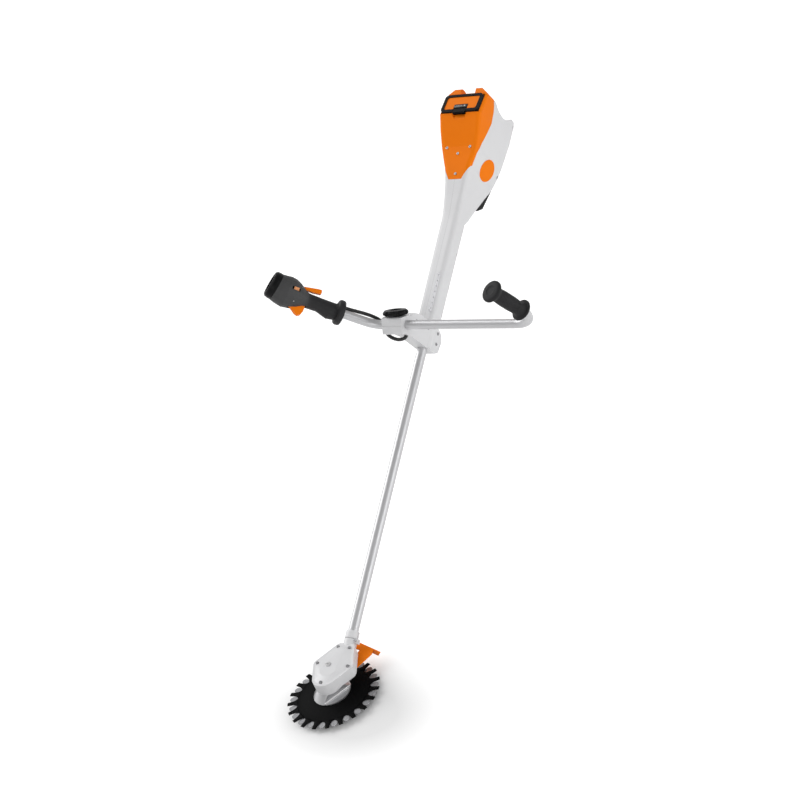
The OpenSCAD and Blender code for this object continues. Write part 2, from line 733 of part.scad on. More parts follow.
module bar_section(grow = 0) difference() {
    circle(d = bar_d + grow);
    circle(d = bar_d - 2 * bar_wall + grow);
}
module bar_bend(r, turn) rotate_extrude(angle = turn) translate([r, 0]) bar_section(0.1);
module handlebar() color(steel_c) {
    in_bar_plane() {
        translate([-right_start, bar_u, 0]) rotate([0, 90, 0])
            linear_extrude(right_start + left_start) bar_section();
        translate([-right_start, bar_u + right_bend_r, 0]) rotate([0, 0, -90 - right_turn])
            bar_bend(right_bend_r, right_turn);
        translate([left_start, bar_u + left_bend_r, 0]) rotate([0, 0, -90])
            bar_bend(left_bend_r, left_turn);
    }
    on_handle() translate([0, 0, right_tail]) linear_extrude(bar_into_handle - right_tail) bar_section();
    on_grip() translate([0, 0, left_tail]) linear_extrude(grip_len - 14) bar_section();
}

module left_grip() color(dark_c) on_grip() {
    flange = 29;
    bar_end = left_tail + grip_len - 14 - grip_from;
    translate([0, 0, grip_from]) rotate_extrude() polygon([
        [bar_r, 0], [flange - 3, 0], [flange, 2], [flange, 5], [flange - 3, 7], [21, 11], [18.5, 20],
        [20, 45], [20, 75], [18.5, grip_len - 26], [21, grip_len - 16], [flange - 2, grip_len - 12],
        [flange + 1, grip_len - 9], [flange + 1, grip_len - 5], [flange - 3, grip_len - 1.5],
        [15, grip_len], [0, grip_len], [0, bar_end], [bar_r, bar_end]]);
}

// ---------- control handle ----------

handle_r = 20;
head_from = 204;
head_to = 290;
head_tilt = 12;
head_c = 11;
handle_wall = 2.6;
oval_steps = 28;
function oval(rx, ry, cy, z, tilt = 0) = [for (i = [0:oval_steps - 1]) let (a = 360 * i / oval_steps,
    y = ry * sin(a)) [rx * cos(a), cy + y, z - y * tan(tilt)]];
// stations of the handle: half width, half height, offset up the tube, distance along the handle, tilt
function handle_ovals(d) = [
    oval(handle_r - d, handle_r + 3 - d, -2, handle_from + 18),
    oval(handle_r - d, handle_r + 5 - d, -4, 138),
    oval(handle_r - 0.5 - d, handle_r - d, 1.5, 168),
    oval(handle_r - d, handle_r + 1 - d, 2, head_from - 4), oval(24 - d, 26 - d, 4, head_from + 9),
    oval(29.5 - d, 35 - d, 6, head_from + 23), oval(34 - d, 42 - d, 7.5, head_from + 39),
    oval(37 - d, 44.5 - d, 7, head_from + 57, head_tilt / 2),
    oval(37.5 - d, 41 - d, 9, head_from + 74, head_tilt),
    oval(37 - d, 38 - d, head_c, head_to, head_tilt)];
function tail(list, from) = [for (i = [from:len(list) - 1]) list[i]];
trigger_pin = [-20, 240];     // up the tube, along the handle
lockout_pin = [24, 227];
trigger_w = 14;
lockout_w = 11;
hinge_pin_r = 2;

// plate across the handle whose outline is drawn as (along the handle, up the tube)
module handle_plate(w)
    translate([-w / 2, 0, 0]) rotate([90, 0, 90]) linear_extrude(w) mirror([1, 0]) rotate(90) children();

module handle_shell(side) {
    difference() {
        union() {
            loft(handle_ovals(0));
            translate([0, 0, handle_from]) rotate_extrude() polygon([
                [0, 0], [28, 0], [33, 2], [35, 6], [35, 14], [32, 18], [24, 20],
                [handle_r - 1, 26], [0, 26]]);
        }
        translate([side > 0 ? -big : 0, -big, 0]) cube([big, 2 * big, 2 * big]);
        cylinder(r = bar_r, h = bar_into_handle + 2);
        difference() {
            loft(concat([oval(handle_r - 5, handle_r - 5, 2, head_from - 3)],
                tail(handle_ovals(handle_wall), 4),
                [oval(37 - handle_wall, 38 - handle_wall, head_c, head_to + 4, head_tilt)]));
            for (p = [trigger_pin, lockout_pin], x = [-1, 1]) translate([0, p[0], p[1]])
                rotate([0, x * 90, 0]) translate([0, 0, trigger_w / 2 + 1]) cylinder(r = 5, h = 40);
        }
        handle_plate(trigger_w + 1) polygon([[198, -60], [250, -60], [247, -8], [198, -8]]);
        handle_plate(lockout_w + 1) polygon([[190, 60], [236, 60], [236, 14], [196, 18], [190, 22]]);
        for (p = [trigger_pin, lockout_pin]) translate([0, p[0], p[1]]) rotate([0, 90, 0])
            cylinder(r = hinge_pin_r, h = 2 * pin_reach, center = true);
        translate([20, slider_y - 4.4, slider_z - 12]) cube([big, 8.8, 24]);
        translate([0, handle_cable_y, 0]) cylinder(d = cable_d, h = handle_from + 8);
    }
}
pin_reach = 24;
slider_y = 12;
slider_z = 242;
handle_cable_y = 17.2;

module handle_shell_front() color(dark_c) on_handle() handle_shell(1);
module handle_shell_rear() color([0.3, 0.3, 0.3]) on_handle() handle_shell(-1);

ring_h = 21;
module handle_end_ring() color(black_c)
    on_handle() translate([0, head_c, head_to]) rotate([-head_tilt, 0, 0])
        rotate_extrude() polygon([[0, 0], [38, 0], [38.5, 8], [37, ring_h - 4], [33, ring_h],
            [28, ring_h], [25, ring_h - 4], [0, ring_h - 4]]);

module trigger() color(orange_c) on_handle() difference() {
    handle_plate(trigger_w) polygon([[246, -16], [245, -29], [234, -37], [224, -45], [216, -47.5],
        [209, -44], [205, -35], [203, -18], [206, -15]]);
    translate([0, trigger_pin[0], trigger_pin[1]]) rotate([0, 90, 0])
        cylinder(r = hinge_pin_r + run_gap, h = big, center = true);
}

module lockout_lever() color(orange_c) on_handle() difference() {
    handle_plate(lockout_w) polygon([[233, 22], [230, 31], [217, 36], [180, 42.5], [170, 43.5],
        [167.5, 41], [168, 31], [190, 28.5], [205, 29], [221, 19], [229, 18]]);
    translate([0, lockout_pin[0], lockout_pin[1]]) rotate([0, 90, 0])
        cylinder(r = hinge_pin_r + run_gap, h = big, center = true);
}

module mode_slider() color("sandybrown") on_handle() {
    translate([pin_reach + 0.6, slider_y - 4, slider_z - 7]) cube([10.4, 8, 14]);
    translate([pin_reach + 10, slider_y - 2.5, slider_z - 5]) cube([2.4, 5, 10]);
}

module switch_unit() color("darkslategray") on_handle() {
    translate([-10, -8, head_to - 32]) cube([20, 24, 32 - 5]);
    translate([-2.5, -6, head_to - 36]) cube([5, 5, 5]);
}

module handle_pins() color(steel_c) on_handle()
    for (p = [trigger_pin, lockout_pin]) translate([0, p[0], p[1]]) rotate([0, 90, 0])
        cylinder(r = hinge_pin_r, h = 2 * pin_reach, center = true);

// route of the control cable: across, above the tube axis, along the tube
cable_from = [-right_reach - (handle_from + 7) * sin(right_lean),
    bar_u + (handle_from + 7) * cos(right_lean), bar_s + handle_cable_y];
cable_route = [
    cable_from, cable_from + [8.5, -10.2, 0.6], [-109, 187, 1029], [-92, 168, 1030.5], [-76, 151, 1029.5],
    [-64, 137, 1026], [-55, 128, 1017], [-48, 123, 1005], [-41, 120, 994], [-31, 117, 986],
    [-20, 113, 982], [-8, 109, 980.5], [2, 106, 983], [8, 103.5, 988],
    [cable_hole.x, cable_hole.y, 995], [cable_hole.x, cable_hole.y, 1004]];
cable_split = -46;
module control_cable(from, to) on_tube() intersection() {
    swept_tube([for (p = cable_route) [p[0], -p[1], p[2]]], cable_d / 2, 10);
    translate([from, -big, 0]) cube([to - from, 2 * big, 10 * big]);
}
module cable_upper() color(black_c) control_cable(-big, cable_split - 0.2);
module cable_lower() color(black_c) control_cable(cable_split + 0.2, big);

// ---------- housing ----------

function width_at(share) = neck_w + share * (body_w - neck_w);
rim_from = bat_s - bat_t / 2;         // the battery's rim on the cover
rim_up = 100;
rim_slope = tan(bat_tilt);
function rim_at(s) = rim_up - (s - rim_from) * rim_slope;
belly_from = 1415;
belly_to = 1545;
belly_d = 101;
belly_d0 = 40;
function belly_at(s) = belly_d0 + (s - belly_from) * (belly_d - belly_d0) / (belly_to - belly_from);

// stations: distance along the tube, half width, height above and depth below the axis, corner radii
function stations(d) = [
    [neck_from, neck_w - 2, neck_w - 2, neck_w - 2, 14, 14],
    [neck_from + 24, neck_w, neck_w, neck_w, 13, 13],
    [belly_from - 20, neck_w + 1, neck_w + 1, neck_w + 1, 13, 13],
    [belly_from, width_at(0.05), 29, belly_d0, 13, 14],
    [belly_from + 45, width_at(0.13), 35, belly_at(belly_from + 45), 13, 15],
    [belly_from + 90, width_at(0.24), 43, belly_at(belly_from + 90), 13, 16],
    [belly_to, width_at(0.39), 51, belly_d, 12, 18],
    [belly_to + 30, width_at(0.62), 57, belly_d, 12, 20],
    [belly_to + 57, width_at(0.8), 63, 99, 11, 21],
    [belly_to + 100, width_at(0.93), 82, 99, 11, 22],
    [rim_from, width_at(1), rim_up, 100, 11, 22],
    [body_to - 20, width_at(1), rim_at(body_to - 20), 100, 11, 22],
    [body_to - 5, width_at(0.97), rim_at(body_to - 5), 97, 11, 20],
    [body_to, width_at(0.9), rim_at(body_to) - 3, 90, 10, 17]];
function inset_station(p, d) = let (w = p[1] - d, up = p[2] - d, down = p[3] - d)
    [for (q = section(w, up, down, max(p[4] - d, 2), max(p[5] - d, 2))) [q[0], q[1], p[0]]];
function housing_rings(d, cut) = [for (p = stations(0))
    inset_station([min(max(p[0], neck_from + cut), body_to - cut), p[1], p[2], p[3], p[4], p[5]], d)];

motor_from = 1530;
motor_to = 1574;
motor_r = 33;
module bay_box(grow, deeper) {
    w = bat_w + 2 * (bat_gap + grow);
    t = bat_t + 2 * (bat_gap + grow);
    on_battery() translate([-w / 2, -t / 2, -bat_len - 1 - deeper]) cube([w, t, bat_len + 60]);
}
// rooms for the tube, the fan, the motor, its bearing and the electronics
room_w = body_w - 19;
module rooms() on_tube() {
    translate([0, 0, neck_from - 1]) cylinder(r = tube_r, h = tube_to - neck_from + 1);
    translate([0, 0, tube_to - 1]) cylinder(r = shaft_r + 6, h = motor_from - tube_to - 20);
    translate([0, 0, rotor_from - 20]) cylinder(r = fan_r + 3, h = motor_from - rotor_from + 20);
    translate([0, 0, motor_from]) cylinder(r = motor_r, h = motor_to - motor_from);
    translate([0, 0, motor_to]) cylinder(r = motor_r - 6, h = 4);
    translate([0, 0, motor_to]) cylinder(r = rotor_shaft_r + run_gap, h = rotor_to - motor_to);
    translate([-room_w, -26, rotor_to]) cube([2 * room_w, 56, 68]);
}
rotor_shaft_r = 5;

// orange cover over the top: above its edge on the flanks and inside its tapered outline
cover_from = 1508;
cover_plan = [[21, 0], [36, 27], [58, 67], [90, 92], [90, 300]];
module cover_zone(d = 0) on_tube() intersection() {
    side_plate(-big, big) polygon([
        [cover_from + d, 30 + d], [body_to - 177, 46 + d], [body_to - 143, 43 + d],
        [body_to - 103, 34 + d], [body_to - 71, 28 + d], [body_to - 36, 31 + d],
        [body_to - 9, 40 + d], [body_to + 60, 41 + d],
        [body_to + 60, big], [cover_from + d, big]]);
    translate([0, big / 2, 0]) rotate([90, 0, 0]) linear_extrude(big) both_sides()
        polygon(concat([for (p = cover_plan) [p[0] - d, cover_from + d + p[1]]],
            [[-1, cover_from + 300 + d], [-1, cover_from + d]]));
}

module housing_blank(side) difference() {
    intersection() {
        on_tube() loft(housing_rings(0, 0));
        translate([side > 0 ? 0 : -big, 0, 0]) cube([big, 10 * big, 10 * big]);
    }
    cover_zone();
    rooms();
    rear_hollow();
}
// the rear face curves inwards between the cover and the belly
module rear_hollow() on_tube(body_to + 41) translate([0, 20.5, 0]) rotate([0, 90, 0])
    cylinder(r = 66, h = 4 * body_w, center = true);
module housing_with_bay(side) difference() {
    housing_blank(side);
    bay_box(0, 0);
    on_battery() translate([-block_w / 2, -block_t / 2, -bat_len - 20]) cube([block_w, block_t, 30]);
    on_belly() translate([4 - grille_w / 2, -52, 4 - grille_len / 2])
        cube([grille_w - 8, 90, grille_len - 8]);
    on_belly() translate([-grille_w / 2 - 0.3, -grille_seat, -grille_len / 2 - 0.3])
        cube([grille_w + 0.6, 60, grille_len + 0.6]);
}
module housing_half(side) difference() {
    housing_with_bay(side);
    cover_screw_holes();
    for (p = case_screws_at) on_tube(p.x) translate([-12, -p.y, 0]) rotate([0, 90, 0]) {
        cylinder(d = 4.5, h = big);
        translate([0, 0, p[2] + 12]) cylinder(d = 9, h = big);
    }
    rail_blank();
}
// distance along the tube, height above it, and how far across the head sits
case_screws_at = [[neck_from + 34, -19, 17], [1300, -19, 17], [1580, -85, 22], [1742, -84, 22]];
module housing_left() color(white_c) housing_half(1);
module housing_right() color(white_c) housing_half(-1);
module housing_screws() color("dimgray")
    for (p = case_screws_at) on_tube(p.x) translate([p[2], -p.y, 0]) rotate([0, 90, 0])
        screw(4.5, p[2] + 11, 8, 3);

recess_depth = 9;
module thumb_recess(grow) on_battery() hull() {
    translate([-22 - grow, -bat_t / 2 - 4, -recess_depth - grow]) cube([44 + 2 * grow, 4, 60]);
    translate([-3 - grow, -bat_t / 2 - 44 - grow, -14 - grow]) cube([6 + 2 * grow, 1, 60]);
}

module top_cover() color(orange_c) {
    difference() {
        on_tube() loft(housing_rings(0, 0));
        difference() {
            translate([-big, -big, 0]) cube([2 * big, 10 * big, 10 * big]);
            cover_zone(0.3);
        }
        rooms();
        bay_box(0, 0);
        thumb_recess(0);
        cover_screw_holes();
    }
    // horns behind the battery, shorter towards the flanks
    on_tube() both_sides() intersection() {
        side_plate(24, body_w - 5) polygon([[horn_from, 44], [horn_from + 8, 40], [horn_from + 22, 56],
            [horn_from + 27, 70], [horn_from + 20, 82], [horn_from, 82]]);
        rotate([90, 0, 0]) linear_extrude(big) polygon([[20, horn_from - 1], [20, horn_from + 25],
            [44, horn_from + 21], [body_w - 4, horn_from + 4], [body_w - 4, horn_from - 1]]);
    }
}
horn_from = body_to - 4;
// distance along the tube, height of the head's seat, and how far to each side
cover_screws_at = [[1524, 45.2, 0], [1582, 57, 0], [1600, 61, 38]];
module cover_screw_holes() for (p = cover_screws_at, side = p[2] == 0 ? [1] : [-1, 1])
    on_tube(p.x) translate([side * p[2], -p.y, 0]) rotate([90, 0, 0]) {
        translate([0, 0, 25 - p.y]) cylinder(d = 4.6, h = big);
        cylinder(d = 9, h = big);
    }
module top_cover_screws() color("dimgray")
    for (p = cover_screws_at, side = p[2] == 0 ? [1] : [-1, 1])
        on_tube(p.x) translate([side * p[2], -p.y, 0]) rotate([90, 0, 0]) screw(4.6, p.y - 26, 8, 2.5);

grille_w = 58;
grille_len = 112;
grille_rise = 13;             // how far it stands out of the belly near its lower end
grille_seat = 9;              // depth of its pocket in the belly
belly_slope = atan((belly_d - belly_d0) / (belly_to - belly_from));
// centred on the slanted belly: y out of it, z along it
belly_mid = (belly_from + belly_to) / 2 + 31;
module on_belly()
    on_tube(belly_mid) translate([0, belly_at(belly_mid), 0]) rotate([-belly_slope, 0, 0]) children();
slat_count = 9;
module intake_grille() color(black_c) on_belly() {
    slat_gap = (grille_len - 14) / slat_count;
    difference() {
        translate([-grille_w / 2, 0, 0]) rotate([90, 0, 90]) linear_extrude(grille_w) polygon([
            [-grille_seat, -grille_len / 2], [0, -grille_len / 2], [grille_rise, 26 - grille_len / 2],
            [1, grille_len / 2], [-grille_seat, grille_len / 2]]);
        for (i = [0:slat_count - 1]) translate([6 - grille_w / 2, -20, 8 - grille_len / 2 + i * slat_gap])
            cube([grille_w - 12, 60, slat_gap - 3]);
    }
}

disc_at = [1571, -29];
disc_r = 31;
module side_disc() color(orange_c) difference() {
    intersection() {
        on_tube(disc_at.x) translate([0, -disc_at.y, 0]) rotate([0, 90, 0]) cylinder(r = disc_r, h = 100);
        on_tube() loft(housing_rings(-1.2, 0));
    }
    on_tube() loft(housing_rings(0, 0));
}

rail_x = 16;
rail_from = neck_from + 26;
rail_holes = 7;
rail_pitch = 17;
rail_end = rail_from + (rail_holes - 1) * rail_pitch + 16;
rail_hole_r = 3;
module rail_blank() on_tube() side_plate(rail_x - 2, rail_x + 2) polygon([
    [rail_from, neck_w - 5], [rail_from, neck_w + 7], [rail_from + 4, neck_w + 11],
    [rail_end - 4, neck_w + 11], [rail_end, neck_w + 7], [rail_end, neck_w - 5]]);
module carrying_rail() color("gainsboro") difference() {
    rail_blank();
    on_tube() for (i = [0:rail_holes - 1]) translate([0, -neck_w - 5.5, rail_from + 8 + i * rail_pitch])
        rotate([0, 90, 0]) cylinder(r = rail_hole_r, h = big);
}

// ---------- motor and electronics ----------

rotor_r = 19;
module motor_stator() color("saddlebrown") on_tube(motor_from) difference() {
    cylinder(r = motor_r, h = motor_to - motor_from);
    translate([0, 0, -1]) cylinder(r = rotor_r + 0.6, h = motor_to);
    for (i = [0:11]) rotate([0, 0, 30 * i]) translate([rotor_r + 6, 0, -1]) cylinder(r = 3, h = big);
}
module motor_rotor() color("slategray") on_tube() {
    translate([0, 0, motor_from + 2]) cylinder(r = rotor_r, h = motor_to - motor_from - 4);
    translate([0, 0, rotor_from]) cylinder(r = rotor_shaft_r, h = rotor_to - rotor_from);
}
fan_r = 29;
fan_blades = 9;
module cooling_fan() color("dimgray") on_tube(rotor_from - 15) difference() {
    union() {
        cylinder(r = 8, h = 14);
        translate([0, 0, 12]) cylinder(r = fan_r, h = 2);
        for (i = [0:fan_blades - 1]) rotate([0, 0, 360 * i / fan_blades]) translate([6, -0.8, 2])
            cube([fan_r - 8, 1.6, 11]);
    }
    translate([0, 0, -1]) cylinder(r = shaft_r, h = 20);
}
module control_unit() color("darkgreen") on_tube() {
    translate([-48, -20, rotor_to + 1]) cube([96, 4, 64]);
    translate([-40, -16, 1610]) cube([80, 24, 32]);
    for (i = [0:2]) translate([-30 + 24 * i, 8, 1614]) cube([14, 14, 20]);
}

// ---------- battery ----------

block_w = 60;
block_t = 24;
frame_h = 5;
panel_inset = 9;
lever_w = 40;
module battery_case() color(black_c) on_battery() difference() {
    union() {
        translate([0, 0, -bat_len]) rounded_box([bat_w, bat_t, bat_len - 10], 6);
        translate([0, 0, -10.01]) rounded_box([bat_w, bat_t, 10.01 + frame_h], 12);
    }
    rounded_box([bat_w - 2 * panel_inset, bat_t - 2 * panel_inset, 20], 7);
    translate([-lever_w / 2 - 1, -bat_t, -9]) cube([lever_w + 2, bat_t - 14, 30]);
    for (x = [-18, -6, 6, 18]) translate([x - 2, -9, -bat_len - 1]) cube([4, 18, 13]);
    latch_axle(2 + run_gap, lever_w + 9);
}
module latch_axle(r, len) translate([0, -22, -4]) rotate([0, 90, 0])
    cylinder(r = r, h = len, center = true);
tile_w = 46;
module battery_panel() color(orange_c) on_battery() difference() {
    rounded_box([bat_w - 2 * panel_inset - 0.6, bat_t - 2 * panel_inset - 0.6, 3], 6.7);
    translate([-tile_w / 2, -bat_t, -1]) cube([tile_w, bat_t - 4, 10]);
}
module battery_latch() color("dimgray") on_battery() {
    translate([-lever_w / 2, 0, 0]) rotate([90, 0, 90]) linear_extrude(lever_w)
        polygon([[-19, -8], [-19, 3], [-24, 5], [-34, 4.5], [-37, 1], [-34, -3], [-28, -8]]);
    latch_axle(2, lever_w + 8);
}

module terminal_block() color("black") on_battery() translate([0, 0, -bat_len]) {
    translate([-block_w / 2, -block_t / 2, -18]) cube([block_w, block_t, 17]);
    for (x = [-18, -6, 6, 18]) translate([x - 1, -7, -1]) cube([2, 14, 10]);
}

// ---------- the nodes ----------

upper_blade();
lower_blade();
ride_plate();
ride_nut();
hub_shield();
outer_spindle();
inner_spindle();
upper_fork();
lower_fork();
spindle_bushes();
crank_pin();
crank_gear();
eccentric_cams();
pinion();
pinion_bearings();
gearbox_housing();
gearbox_cover();
gearbox_screws();
filler_plug();
collar_screws();
deflector();
deflector_screws();
drive_tube();
tube_bushes();
drive_shaft();
bracket_left();
bracket_right();
bracket_screws();
clamp_lower();
clamp_upper();
clamp_pad();
star_knob();
handlebar();
left_grip();
handle_shell_front();
handle_shell_rear();
handle_end_ring();
trigger();
lockout_lever();
mode_slider();
switch_unit();
handle_pins();
cable_upper();
cable_lower();
housing_left();
housing_right();
housing_screws();
top_cover();
top_cover_screws();
intake_grille();
side_disc();
carrying_rail();
motor_stator();
motor_rotor();
cooling_fan();
control_unit();
battery_case();
battery_panel();
battery_latch();
terminal_block();
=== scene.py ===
"""Looks of the battery brush cutter: finishes, small fittings, stage, light and camera."""
import json
import math

import bpy
from mathutils import Euler, Matrix, Vector


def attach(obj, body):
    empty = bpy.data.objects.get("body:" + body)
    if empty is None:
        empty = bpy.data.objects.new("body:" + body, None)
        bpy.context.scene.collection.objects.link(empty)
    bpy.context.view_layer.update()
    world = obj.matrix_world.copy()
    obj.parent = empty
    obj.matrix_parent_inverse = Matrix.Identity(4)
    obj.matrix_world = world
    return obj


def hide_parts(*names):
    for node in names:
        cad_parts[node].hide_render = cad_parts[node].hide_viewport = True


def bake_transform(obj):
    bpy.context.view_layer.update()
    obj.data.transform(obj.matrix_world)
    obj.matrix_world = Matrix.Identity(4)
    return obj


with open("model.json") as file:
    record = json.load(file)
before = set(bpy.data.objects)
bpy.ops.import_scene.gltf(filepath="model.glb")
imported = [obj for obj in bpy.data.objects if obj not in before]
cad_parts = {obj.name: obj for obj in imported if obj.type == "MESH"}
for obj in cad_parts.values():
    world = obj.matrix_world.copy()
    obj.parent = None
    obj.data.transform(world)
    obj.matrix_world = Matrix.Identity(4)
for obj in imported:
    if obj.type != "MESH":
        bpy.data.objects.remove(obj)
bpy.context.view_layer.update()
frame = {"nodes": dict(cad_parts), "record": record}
nodes = frame["nodes"]


# ---------------------------------------------------------------- places, in mm as in the part's source

def move(x, y, z):
    return Matrix.Translation((x / 1000, y / 1000, z / 1000))


def turn(axis, degrees):
    return Matrix.Rotation(math.radians(degrees), 4, axis)


TUBE = move(0, 0, -7.3) @ turn("X", 28.98 - 90)      # x across, -y up from the tube, z along it
BAR = TUBE @ move(0, -143, 1008.6)
CLAMP = BAR @ turn("X", 35)
HANDLE = BAR @ move(-70, 0, 0) @ turn("Z", -40) @ turn("X", 90)
GRIP = BAR @ move(450, 0, 0) @ turn("Z", -14.3) @ turn("X", 90)
BATTERY = TUBE @ move(0, -94.3, 1722.5) @ turn("X", 78.7)
MACHINE = Matrix.Identity(4)


# ---------------------------------------------------------------- camera and stage

camera_data = bpy.data.cameras.new("camera")
camera_data.lens = 94.01
camera_data.sensor_width = 36.0
camera_data.clip_end = 60.0
camera = bpy.data.objects.new("camera", camera_data)
camera.location = (3.1054, -3.0237, 3.3564)
camera.rotation_euler = Euler([math.radians(a) for a in (56.898, 19.1246, 27.7383)])
bpy.context.scene.collection.objects.link(camera)
bpy.context.scene.camera = camera
bpy.context.scene.view_settings.view_transform = "Standard"


def deselect():
    bpy.ops.object.select_all(action="DESELECT")


def new_material(name):
    material = bpy.data.materials.new(name)
    material.use_nodes = True
    tree = material.node_tree
    return material, tree, tree.nodes["Principled BSDF"]


def maths(tree, operation, *values, clamp=False):
    """A math node fed by sockets or plain numbers."""
    node = tree.nodes.new("ShaderNodeMath")
    node.operation = operation
    node.use_clamp = clamp
    for slot, value in zip(node.inputs, values):
        if isinstance(value, (int, float)):
            slot.default_value = value
        else:
            tree.links.new(value, slot)
    return node.outputs[0]


def any_ray(tree, names):
    """1 for a ray of any of these kinds."""
    path = tree.nodes.new("ShaderNodeLightPath")
    total = path.outputs[names[0]]
    for name in names[1:]:
        total = maths(tree, "MAXIMUM", total, path.outputs[name])
    return total


def floor_with_painted_shadow():
    """White floor that keeps the object's soft shadow and adds a painted shadow: its own light is weaker
    in an oval round the blades.
    """
    material, tree, shader = new_material("floor_with_painted_shadow")
    shader.inputs["Base Color"].default_value = (0.8, 0.8, 0.8, 1)
    shader.inputs["Roughness"].default_value = 0.95
    shader.inputs["Specular IOR Level"].default_value = 0.0
    glow = tree.nodes.new("ShaderNodeEmission")
    glow.inputs["Color"].default_value = (1, 1, 1, 1)
    # painted shadow: round the blades, and further on the side away from the sun, the floor has no light
    # of its own and only the lamps light it, which paints a darker oval pool there;
    # outwards from there its own light makes it plain white
    place = tree.nodes.new("ShaderNodeTexCoord")
    painted_shadow_pool = tree.nodes.new("ShaderNodeVectorMath")
    painted_shadow_pool.operation = "MULTIPLY_ADD"
    painted_shadow_pool.inputs[1].default_value = (1.0, 1.45, 1.0)        # the painted shadow pool is an oval, wider across than along
    painted_shadow_pool.inputs[2].default_value = (-0.09, 0.07, 0.0)      # its centre is before the blades, to the left
    tree.links.new(place.outputs["Object"], painted_shadow_pool.inputs[0])
    away = tree.nodes.new("ShaderNodeVectorMath")
    away.operation = "LENGTH"
    tree.links.new(painted_shadow_pool.outputs["Vector"], away.inputs[0])
    # painted shadow: the floor's own light rises from zero inside the oval to full strength outside it
    painted_shadow_fade = tree.nodes.new("ShaderNodeMapRange")
    painted_shadow_fade.inputs["From Min"].default_value = 0.12
    painted_shadow_fade.inputs["From Max"].default_value = 0.38
    painted_shadow_fade.inputs["To Min"].default_value = 0.0
    painted_shadow_fade.inputs["To Max"].default_value = 0.5
    tree.links.new(away.outputs["Value"], painted_shadow_fade.inputs["Value"])
    seen = any_ray(tree, ["Is Camera Ray", "Is Glossy Ray"])
    tree.links.new(maths(tree, "MULTIPLY", seen, painted_shadow_fade.outputs[0]), glow.inputs["Strength"])
    both = tree.nodes.new("ShaderNodeAddShader")
    tree.links.new(shader.outputs[0], both.inputs[0])
    tree.links.new(glow.outputs[0], both.inputs[1])
    tree.links.new(both.outputs[0], tree.nodes["Material Output"].inputs["Surface"])
    return material


deselect()
bpy.ops.mesh.primitive_plane_add(size=40, location=(0, 0, 0))
floor = bpy.context.object
floor.name = "floor"
floor.data.materials.append(floor_with_painted_shadow())


def studio_world():
    """Even light, a white backdrop, and for gloss a studio that darkens overhead."""
    world = bpy.data.worlds.new("studio")
    bpy.context.scene.world = world
    world.use_nodes = True
    sky = world.node_tree
    for node in list(sky.nodes):
        sky.nodes.remove(node)

    def backdrop(strength):
        node = sky.nodes.new("ShaderNodeBackground")
        node.inputs["Color"].default_value = (1, 1, 1, 1)
        node.inputs["Strength"].default_value = strength
        return node

    def mixed(fac, a, b):
        mix = sky.nodes.new("ShaderNodeMixShader")
        sky.links.new(fac, mix.inputs[0])
        sky.links.new(a.outputs[0], mix.inputs[1])
        sky.links.new(b.outputs[0], mix.inputs[2])
        return mix

    direction = sky.nodes.new("ShaderNodeTexCoord")
    height = sky.nodes.new("ShaderNodeSeparateXYZ")
    sky.links.new(direction.outputs["Generated"], height.inputs[0])
    tone = sky.nodes.new("ShaderNodeValToRGB")
    ramp = tone.color_ramp
    ramp.elements[0].position, ramp.elements[0].color = 0.05, (0.95, 0.95, 0.95, 1)
    ramp.elements[1].position, ramp.elements[1].color = 0.45, (0.42, 0.42, 0.42, 1)
    top = ramp.elements.new(0.9)
    top.color = (0.5, 0.5, 0.5, 1)
    sky.links.new(height.outputs["Z"], tone.inputs[0])
    gloss = backdrop(1.0)
    sky.links.new(tone.outputs[0], gloss.inputs["Color"])
    out = sky.nodes.new("ShaderNodeOutputWorld")
    seen = mixed(any_ray(sky, ["Is Glossy Ray", "Is Transmission Ray"]), backdrop(0.44), gloss)
    both = mixed(any_ray(sky, ["Is Camera Ray"]), seen, backdrop(1.0))
    sky.links.new(both.outputs[0], out.inputs["Surface"])


studio_world()


def lamp(name, kind, place, target, energy):
    data = bpy.data.lights.new(name, kind)
    data.energy = energy
    holder = bpy.data.objects.new(name, data)
    holder.location = place
    aim = Vector(target) - Vector(place)
    holder.rotation_euler = aim.to_track_quat("-Z", "Y").to_euler()
    bpy.context.scene.collection.objects.link(holder)
    return data


def softbox(name, place, target, size, power):
    data = lamp(name, "AREA", place, target, power)
    data.shape = "RECTANGLE"
    data.size, data.size_y = size


sun = lamp("sun", "SUN", (-3, 0.4, 2.4), (0, 0, 0), 1.8)
sun.angle = math.radians(42)                           # a wide sun, so its shadows have no hard edge
softbox("side_light", (4.2, 0.9, 1.3), (0, 0.9, 0.5), (2.0, 2.6), 58)
softbox("front_light", (1.2, -3.6, 2.6), (0, 0.7, 0.4), (2.4, 1.8), 46)


# ---------------------------------------------------------------- shared effects

def group_socket(group, name, kind, way, value=None, low=None, high=None):
    """A named input or output of a shader node group."""
    socket = group.interface.new_socket(name=name, in_out=way, socket_type=kind)
    if value is not None:
        socket.default_value = value
    if low is not None:
        socket.min_value, socket.max_value = low, high


